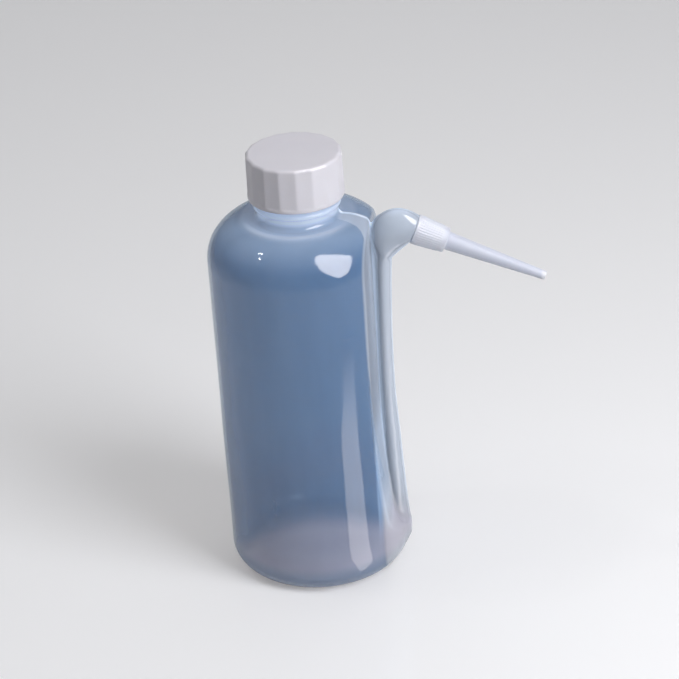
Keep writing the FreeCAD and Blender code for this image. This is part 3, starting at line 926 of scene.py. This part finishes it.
def ldpe_zones(t, coords):
    """Masks of the bottle's parts, by place in metres. 1 inside a zone, soft at its borders."""
    split = t.node("ShaderNodeSeparateXYZ", {0: coords})
    x, y, z = (split.outputs[k] for k in "XYZ")
    y_off = t.math("ABSOLUTE", y)
    radius = t.length(t.out("ShaderNodeCombineXYZ", {0: x, 1: y}))
    zone = SimpleNamespace()

    # side tube and elbow, and the doubled wall a little before them
    zone.tube = t.fade(x, start=0.0292, end=0.0312)
    zone.doubled = t.fade(x, start=0.0281, end=0.0290)

    # recess beside the tube: painted light, a pale band that stands for the flat lit by the key
    # light; it narrows from both sides to a point at the foot
    level = t.fade(z, start=0.014, end=0.114, smooth=False)
    band = t.grey_ramp(level, [
        (0.0, 0.0), (0.055, 0.06), (0.245, 0.35), (0.375, 0.56), (0.55, 0.74), (1.0, 1.0),
    ])
    within = t.minus(t.times(band, 0.0262), y_off)
    recess = t.times(
        t.fade(x, start=0.0273, end=0.0283), t.fade(within, start=-0.0016, end=0.0010)
    )

    # shoulder by the parting line: a paler band, widening towards the recess
    along = t.fade(x, start=0.017, end=0.0285, smooth=False)
    reach = t.grey_ramp(along, [
        (0.0, 0.300), (0.40, 0.380), (0.643, 0.430), (0.817, 0.525), (0.922, 0.640),
        (0.983, 0.765),
    ])
    within = t.minus(t.times(reach, 0.020), y_off)
    spine = t.times(
        t.fade(within, start=-0.0007, end=0.0007),
        t.fade(x, start=0.013, end=0.018),
        t.fade(z, start=0.143, end=0.147),
    )

    # painted light: high up, off the tube, both (and the painted glow) are held back on the +Y
    # side, so only the side towards the key light and the camera is pale
    near_side = t.fade(y, start=0.0022, end=0.0006)
    high = t.fade(z, start=0.144, end=0.148)
    held_back = t.times(t.times(high, t.invert(zone.tube)), t.times(t.invert(near_side), 0.85))
    zone.keep = t.invert(held_back)
    zone.recess = t.times(recess, zone.keep)
    zone.spine = t.times(spine, zone.keep)

    # raised seam over the shoulder, painted as a light line with a painted glow along it
    zone.crest = t.times(
        t.fade(y_off, start=0.0013, end=0.0003),
        t.fade(x, start=0.0145, end=0.0170),
        t.times(high, t.invert(zone.tube)),
    )

    # painted light: the lower wall turns paler towards the base, for the lit base seen through it
    zone.fold = t.fade(z, start=0.026, end=0.004)
    # painted light: the lit base as it shows through the wall in front of it, up to a bowed line
    bow = t.minus(x, 0.006)
    bowed = t.plus(z, t.times(bow, bow, 19.0))
    zone.foot = t.times(
        t.fade(bowed, start=0.0430, end=0.0310), t.fade(z, start=0.006, end=0.013)
    )
    # the base plate itself, painted fully pale and made more solid as painted light, so it reads
    # lit though it lies in the bottle's shade
    zone.disc = t.times(
        t.fade(radius, start=0.0320, end=0.0290), t.fade(z, start=0.0062, end=0.0048)
    )

    # neck, the shoulder as it rises to it, and the top of the shoulder round it
    # painted light: the neck's thick wall is whiter, and it is made paler, more solid and glowing
    # still, to lift it out of the cap's shade
    zone.neck = t.fade(z, start=0.1570, end=0.1612)
    # painted light: the shoulder rising to the neck is painted a lighter blue, as if lit from
    # above, with a painted glow on the -Y side
    zone.crown = t.fade(z, start=0.1465, end=0.1575)
    zone.collar = t.times(
        t.fade(radius, start=0.0255, end=0.0215), t.fade(z, start=0.149, end=0.152)
    )
    # painted highlight: a bright ring where the shoulder turns up into the neck, on the -Y side
    off_ring = t.math("ABSOLUTE", t.minus(radius, 0.0215))
    zone.ring = t.times(
        t.fade(off_ring, start=0.0030, end=0.0002),
        t.fade(z, start=0.149, end=0.151),
        t.fade(y, start=0.004, end=-0.017),
    )

    # the -Y side, towards the key light and the camera, where the shoulder's painted glow goes
    zone.front_side = t.fade(y, start=0.006, end=-0.012)
    zone.above_foot = t.fade(z, start=0.016, end=0.034)
    return zone


# how much each zone whitens the wall; much of it is painted light, noted at each zone
PALENESS = dict(
    recess=0.75, fold=0.35, neck=1.0, tube=1.0, collar=0.45, spine=0.8, ring=0.8, edge=0.08
)
LDPE_COLOURS = SimpleNamespace(
    # scattered from the front
    deep_blue=(0.125, 0.335, 0.67, 1),
    light_blue=(0.175, 0.41, 0.76, 1),
    pale_wall=(0.92, 0.96, 1.0, 1),
    pale_tube=(0.90, 0.95, 1.0, 1),
    # whiter neck wall, part of the neck's painted light
    pale_neck=(0.88, 0.93, 1.0, 1),
    # painted light: lighter blue on top of the shoulder
    crown=(0.54, 0.74, 1.0, 1),
    # painted: dark double line near the tube's outline
    wall_line=(0.30, 0.36, 0.46, 1),
    # painted light: the lit base seen through the lower wall
    foot=(0.84, 0.80, 0.92, 1),
    # painted sheen: near-white at the outline
    edge=(0.94, 0.95, 0.98, 1),
    # scattered light that comes through
    through_wall=(0.58, 0.52, 0.53, 1),
    through_pale=(0.90, 0.92, 0.98, 1),
    through_foot=(0.92, 0.84, 0.90, 1),
    through_neck=(0.86, 0.91, 1.0, 1),
    through_disc=(0.95, 0.84, 0.84, 1),
    # straight through: for light and for sight
    clear_light=(0.93, 0.90, 0.86, 1),
    clear_sight=(0.74, 0.84, 0.93, 1),
    # painted glow: colour of the emission that stands for light carried in the walls
    painted_glow=(0.56, 0.74, 1.0, 1),
)
# painted glow: emission strengths standing for light carried along inside the thick walls; no lamp
# lights these places
GLOW = dict(doubled=0.070, crevice_lift=0.24, tube_edge=0.22, neck=0.17, ring=0.10, crest=0.22,
            crown=0.085)


def ldpe_paleness(t, zone, facing):
    def share(name):
        return t.times(getattr(zone, name), PALENESS[name])

    pale = t.largest(share("recess"), t.largest(share("fold"), share("neck")))
    pale = t.largest(pale, t.largest(share("tube"), zone.disc))
    pale = t.largest(pale, t.largest(share("collar"), share("spine")))
    pale = t.largest(pale, share("ring"), zone.crest)
    # painted sheen: the wall whitens towards the outline
    edge = t.times(t.math("POWER", facing, 3.0), PALENESS["edge"])
    return t.math("MAXIMUM", pale, edge, clamp=True)


def ldpe_front_colour(t, zone, pale, vary, facing, line):
    """Colour of light scattered back. The walls are whitened by zone, partly for thicker plastic
    and much of it as painted light, and towards the outline as a painted sheen.
    """
    colours = LDPE_COLOURS
    blue = t.mix(vary, colours.deep_blue, colours.light_blue)
    light_wall = t.mix(zone.tube, colours.pale_wall, colours.pale_tube)
    light_wall = t.mix(zone.neck, light_wall, colours.pale_neck)
    colour = t.mix(pale, blue, light_wall)
    # painted light: the top of the shoulder a lighter blue
    crown = t.times(zone.crown, t.invert(pale, clamp=True), 0.8)
    colour = t.mix(crown, colour, colours.crown)
    # painted: the dark double line near the tube's outline
    colour = t.mix(t.times(zone.tube, t.invert(line)), colour, colours.wall_line)
    # painted light: the lit base seen through the lower wall
    colour = t.mix(t.times(zone.foot, 0.55), colour, colours.foot)
    # painted sheen: a narrow near-white line right at the outline
    outline_sheen = t.times(t.math("POWER", facing, 9.0), 0.35)
    return t.mix(outline_sheen, colour, colours.edge)


def ldpe_through_colour(t, zone, pale):
    """Colour of scattered light that comes through the wall."""
    colours = LDPE_COLOURS
    warm = t.mix(pale, colours.through_wall, colours.through_pale)
    warm = t.mix(t.times(zone.foot, 0.5), warm, colours.through_foot)
    warm = t.mix(zone.neck, warm, colours.through_neck)
    return t.mix(zone.disc, warm, colours.through_disc)


def ldpe_solidity(t, zone, pale, vary, seen):
    """How little passes straight through. Light crosses the thin wall more freely than sight."""
    solid = t.plus(0.36, t.times(vary, 0.10))
    solid = t.plus(solid, t.times(pale, 0.37), t.times(zone.foot, 0.16))
    # the neck and the base are made more solid too, part of their painted light
    ends = t.times(t.largest(zone.neck, zone.disc), 0.14)
    solid = t.math("ADD", solid, ends, clamp=True)
    ease = t.times(t.invert(seen), t.invert(pale, clamp=True), 0.14)
    return t.math("SUBTRACT", solid, ease, clamp=True)


def ldpe_glow(t, zone, facing, line, front_face):
    """Painted glow along the tube and the neck, most of all at their outlines, standing for light
    carried in the walls.
    """
    shell_edge = t.fade(facing, start=0.52, end=0.72)
    # painted light: the flat beside the tube glows, most in the crevice before the tube, to lift
    # its shade
    crevice_lift = t.times(zone.doubled, t.invert(zone.tube))
    glow = t.times(zone.doubled, t.plus(GLOW["doubled"], t.times(crevice_lift, GLOW["crevice_lift"])))
    glow = t.plus(glow, t.times(t.times(zone.tube, shell_edge), GLOW["tube_edge"]))
    glow = t.times(glow, zone.above_foot, zone.keep)
    lines = t.plus(t.times(zone.ring, GLOW["ring"]), t.times(zone.crest, GLOW["crest"]))
    glow = t.plus(glow, t.plus(t.times(zone.neck, GLOW["neck"]), lines))
    glow = t.plus(glow, t.times(t.times(zone.crown, zone.front_side), GLOW["crown"]))
    return t.times(glow, t.times(front_face, line))


def ldpe(name):
    """Milky low-density polyethylene: scatters blue from the front, warmer light through it."""
    t = Tree(name)
    coords = t.coords()
    facing = t.facing()
    zone = ldpe_zones(t, coords)
    # wall thickness varies softly, and streaks run down the wall
    cloud = t.noise(coords, scale=26.0, detail=2.0, roughness=0.45)
    drawn = t.stretch(coords, (1.0, 1.0, 0.12))
    streak = t.noise(drawn, scale=130.0, detail=3.0, roughness=0.5)
    fine = t.noise(coords, scale=900.0, detail=3.0, roughness=0.55)
    vary = t.plus(t.times(cloud, 0.6), t.times(streak, 0.4))
    pale = ldpe_paleness(t, zone, facing)
    # painted: near the outline the two faces of the wall are drawn as a dark double line, standing
    # for the inner face seen through
    line = t.grey_ramp(facing, [(0.0, 1), (0.33, 1), (0.42, 0.55), (0.50, 1), (1.0, 1)])
    colour = ldpe_front_colour(t, zone, pale, vary, facing, line)
    warm = ldpe_through_colour(t, zone, pale)
    front_face = t.invert(t.geometry("Backfacing"))
    normal = t.bump(fine, strength=0.035, distance=0.0004)

    # light spreads inside the doubled wall, so it shades flatter than it is shaped
    lean = t.mix_vector(t.times(zone.doubled, 0.66), normal, (0.90, 0.0, 0.30))
    flatter = t.out("ShaderNodeVectorMath", {0: lean}, operation="NORMALIZE")
    diffuse = t.out(
        "ShaderNodeBsdfDiffuse", {"Color": colour, "Roughness": 0.3, "Normal": flatter}
    )
    translucent = t.out("ShaderNodeBsdfTranslucent", {"Color": warm, "Normal": normal})
    body = t.mix_shader(t.plus(0.45, t.times(pale, 0.10)), diffuse, translucent)

    seen = t.light_path("Is Camera Ray")
    tint = t.mix(seen, LDPE_COLOURS.clear_light, LDPE_COLOURS.clear_sight)
    clear = t.out("ShaderNodeBsdfTransparent", {"Color": tint})
    base = t.mix_shader(ldpe_solidity(t, zone, pale, vary, seen), clear, body)

    # painted glow: emission on the bottle where no lamp shines
    strength = ldpe_glow(t, zone, facing, line, front_face)
    painted_glow = t.out(
        "ShaderNodeEmission", {"Color": LDPE_COLOURS.painted_glow, "Strength": strength}
    )
    base = t.out("ShaderNodeAddShader", {0: base, 1: painted_glow})

    gloss = t.out(
        "ShaderNodeBsdfGlossy", {"Color": (1, 1, 1, 1), "Roughness": 0.068, "Normal": normal}
    )
    fresnel = t.out("ShaderNodeFresnel", {"IOR": 1.5, "Normal": normal})
    return t.finish(t.mix_shader(t.times(fresnel, front_face, 0.95), base, gloss))


def spout_colour(t, coords, colour, spout, far):
    """Past the collar the wall is thin, so the bore greys it, with lines drawn along it; its
    outline is painted lighter as a painted sheen.
    """
    x = t.node("ShaderNodeSeparateXYZ", {0: coords}).outputs["X"]
    past_collar = t.fade(x, start=0.0575, end=0.0600)
    tip = t.fade(x, start=0.0955, end=0.0967)
    # painted sheen: the spout turns lighter towards its outline
    spout_sheen = t.grey_ramp(
        t.facing(), [(0.0, 0.10), (0.30, 0.0), (0.45, 0.30), (0.52, 0.12), (0.66, 1)]
    )
    turned = t.out(
        "ShaderNodeVectorRotate", {"Vector": coords, "Angle": NOZZLE_DROP},
        rotation_type="Y_AXIS", invert=True,
    )
    drawn = t.stretch(turned, (0.06, 1.0, 1.0))
    lines = t.noise(drawn, scale=900.0, detail=3.0, roughness=0.6)
    core = t.mix(lines, spout, tuple(c * 0.86 for c in spout[:3]) + (1.0,))
    core = t.mix(t.largest(spout_sheen, tip), core, far)
    return t.mix(past_collar, colour, core), past_collar


def white_plastic(name, base, shade, roughness, subsurface, spout=None):
    """White plastic with a little depth and a fine grain. spout is the colour past the collar."""
    t = Tree(name)
    coords = t.coords()
    cloud = t.noise(coords, scale=60.0, detail=3.0, roughness=0.5)
    grain = t.noise(coords, scale=1400.0, detail=4.0, roughness=0.6)
    inputs = {
        "Base Color": t.mix(cloud, base, shade),
        "Roughness": t.plus(roughness - 0.05, t.times(cloud, 0.1)),
        "IOR": 1.49,
        "Normal": t.bump(grain, strength=0.10, distance=0.0003),
        "Subsurface Weight": subsurface,
        "Subsurface Scale": 0.002,
        "Subsurface Radius": (1.0, 0.9, 0.85),
    }
    if spout:
        inputs["Base Color"], past_collar = spout_colour(
            t, coords, inputs["Base Color"], spout, base
        )
        # the spout is duller than the collar
        inputs["Roughness"] = t.plus(inputs["Roughness"], t.times(past_collar, 0.18))
        inputs["Specular IOR Level"] = t.minus(0.5, t.times(past_collar, 0.22))
    return t.finish(t.out("ShaderNodeBsdfPrincipled", inputs))


def wear(obj, material):
    obj.data.materials.clear()
    obj.data.materials.append(material)


# piece, its frame node, material
finishes = [
    (bottle, "bottle", ldpe("ldpe_translucent")),
    (cap, "cap", white_plastic(
        "cap_white", base=srgb(228, 226, 231), shade=srgb(220, 218, 224),
        roughness=0.30, subsurface=0.25,
    )),
    (liner, "cap_liner", white_plastic(
        "liner_foam_white", base=srgb(232, 231, 226), shade=srgb(222, 221, 214),
        roughness=0.7, subsurface=0.1,
    )),
    (nozzle, "nozzle", white_plastic(
        "nozzle_white", base=srgb(224, 226, 234), shade=srgb(212, 217, 230),
        roughness=0.3, subsurface=0.5, spout=srgb(208, 213, 227),
    )),
]
for piece, _, material in finishes:
    wear(piece, material)
for _, node_name, material in finishes:
    wear(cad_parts[node_name], material)


# ---------------------------------------------------------------------------------------------
# stage: pale floor that curves up behind, soft lights, reflection cards, camera
# ---------------------------------------------------------------------------------------------
def floor_material():
    t = Tree("floor_pale")
    # to the camera the floor is a little lighter than its bounce light on the object
    lift = t.times(t.light_path("Is Camera Ray"), 0.15)
    return t.finish(t.out("ShaderNodeBsdfPrincipled", {
        "Base Color": (0.90, 0.90, 0.90, 1), "Roughness": 0.09, "IOR": 1.5,
        "Emission Color": (1, 1, 1, 1), "Emission Strength": lift,
    }))


def add_floor():
    half_width, columns = 2200, 9
    bend_y, bend_r, bend_steps = 1300, 600, 12
    profile = [(-1600, 0), (0, 0), (bend_y, 0)]  # y, z
    for k in range(1, bend_steps + 1):
        a = math.radians(90 * k / bend_steps)
        profile.append((bend_y + bend_r * math.sin(a), bend_r - bend_r * math.cos(a)))
    profile.append((bend_y + bend_r, 2600))
    # it lies a hair below the base
    points = [
        (x, y, z - 0.05) for y, z in profile for x in np.linspace(-half_width, half_width, columns)
    ]
    faces = []
    for row in range(len(profile) - 1):
        for i in range(columns - 1):
            first = row * columns + i
            faces.append((first, first + 1, first + columns + 1, first + columns))
    floor = mesh_object("floor", points, faces)
    for face in floor.data.polygons:
        face.use_smooth = True
    floor.data.materials.append(floor_material())


def area_light(name, location, target, size, power, colour=(1, 1, 1)):
    light = bpy.data.lights.new(name, "AREA")
    light.shape = "RECTANGLE"
    light.size, light.size_y = size
    light.energy = power
    light.color = colour
    lamp = bpy.data.objects.new(name, light)
    aim = (Vector(target) - Vector(location)).normalized()
    lamp.rotation_euler = aim.to_track_quat("-Z", "Y").to_euler()
    lamp.location = location
    bpy.context.scene.collection.objects.link(lamp)
    return lamp


def card_material(name, strength, fade_from):
    """One-sided light for first reflections only."""
    t = Tree(name)
    back = t.geometry("Backfacing")
    power = strength
    if fade_from:
        away = t.length(t.geometry("Position"))
        power = t.times(strength, t.fade(away, start=fade_from * 1.85, end=fade_from))
    direct = t.math("LESS_THAN", t.light_path("Ray Depth"), 1.5)
    light = t.out(
        "ShaderNodeEmission", {"Color": (1.0, 0.94, 0.92, 1), "Strength": t.times(direct, power)}
    )
    return t.finish(t.mix_shader(back, light, t.out("ShaderNodeBsdfTransparent")))


def glow_card(name, points, strength, fade_from=None):
    """A lit outline that only reflections see. It can fade from a distance (m) off the origin."""
    card = mesh_object(name, points, [tuple(range(len(points)))])
    card.data.materials.append(card_material(name, strength, fade_from))
    card.visible_camera = card.visible_diffuse = card.visible_transmission = False
    card.visible_volume_scatter = card.visible_shadow = False


def on_plane(outline, centre, normal):
    """Places (across, up) points on a tilted plane. Across stays level."""
    normal = Vector(normal).normalized()
    across = Vector((0, 0, 1)).cross(normal).normalized()
    up = normal.cross(across)
    return [tuple(Vector(centre) + across * a + up * b) for a, b in outline]


def add_world():
    world = bpy.data.worlds.new("world")
    bpy.context.scene.world = world
    world.use_nodes = True
    background = world.node_tree.nodes["Background"]
    background.inputs["Color"].default_value = (0.90, 0.90, 0.94, 1)
    background.inputs["Strength"].default_value = 0.115


def add_lights():
    """A tall soft box at the right front, a soft overhead, three small lamps far to the left."""
    soft_white = (0.97, 0.97, 1.0)
    key = area_light(
        "key", location=(0.56, -0.33, 0.62), target=(0, 0, 0.12), size=(0.38, 0.78),
        power=6.0, colour=soft_white,
    )
    overhead = area_light(
        "overhead", location=(-0.1, 0.5, 1.6), target=(0, 0.15, 0), size=(2.4, 2.0),
        power=9.0, colour=soft_white,
    )
    key.visible_glossy = overhead.visible_glossy = False
    # name, location, size, power
    for name, location, size, power in (
        ("lamp", (-0.52, -0.03, 1.02), (0.060, 0.050), 0.36),
        ("lamp_low", (-0.57, -0.20, 0.97), (0.055, 0.050), 0.30),
        ("lamp_far", (-0.82, -0.10, 0.78), (0.045, 0.045), 0.10),
    ):
        area_light(name, location, target=(0, 0, 0.15), size=size, power=power)


# the soft box's outline (across, up) and the strip of it that the floor mirrors (x, y, z), in mm
BOX_OUTLINE = [
    (-81, 535), (36, 530), (170, 299), (320, 81), (262, -99), (165, -309), (71, -493),
    (-135, -557), (-272, -287), (-303, 9), (-234, 292),
]
STRIP = [
    (33, -48, 0.6), (98, -119, 0.6), (175, -149, 0.6), (207, -157, 0.6), (221, -131, 0.6),
    (203, -101, 0.6), (129, -74, 0.6), (41, -31, 0.6), (30, -36, 0.6),
]


def add_camera():
    data = bpy.data.cameras.new("camera")
    data.sensor_width = 36.0
    data.lens = 128.948925
    data.clip_start, data.clip_end = 0.05, 20.0
    camera = bpy.data.objects.new("camera", data)
    bpy.context.scene.collection.objects.link(camera)
    right = (0.99026473, 0.12630508, -0.05850457)
    up = (-0.01074019, 0.48837874, 0.87256567)
    back = (0.13878187, -0.86344266, 0.48498078)
    place = (0.150643, -0.854341, 0.580281)
    camera.matrix_world = Matrix(
        (right + (0,), up + (0,), back + (0,), place + (1,))
    ).transposed()
    bpy.context.scene.camera = camera


add_floor()
add_world()
add_lights()
box_points = on_plane(BOX_OUTLINE, centre=(584, -332, 672.5), normal=(0.65, -0.38, 0.65))
glow_card("glow_box", box_points, strength=12.3)
glow_card("glow_strip", STRIP, strength=4.2, fade_from=0.145)
bpy.context.scene.view_settings.view_transform = "Standard"
add_camera()
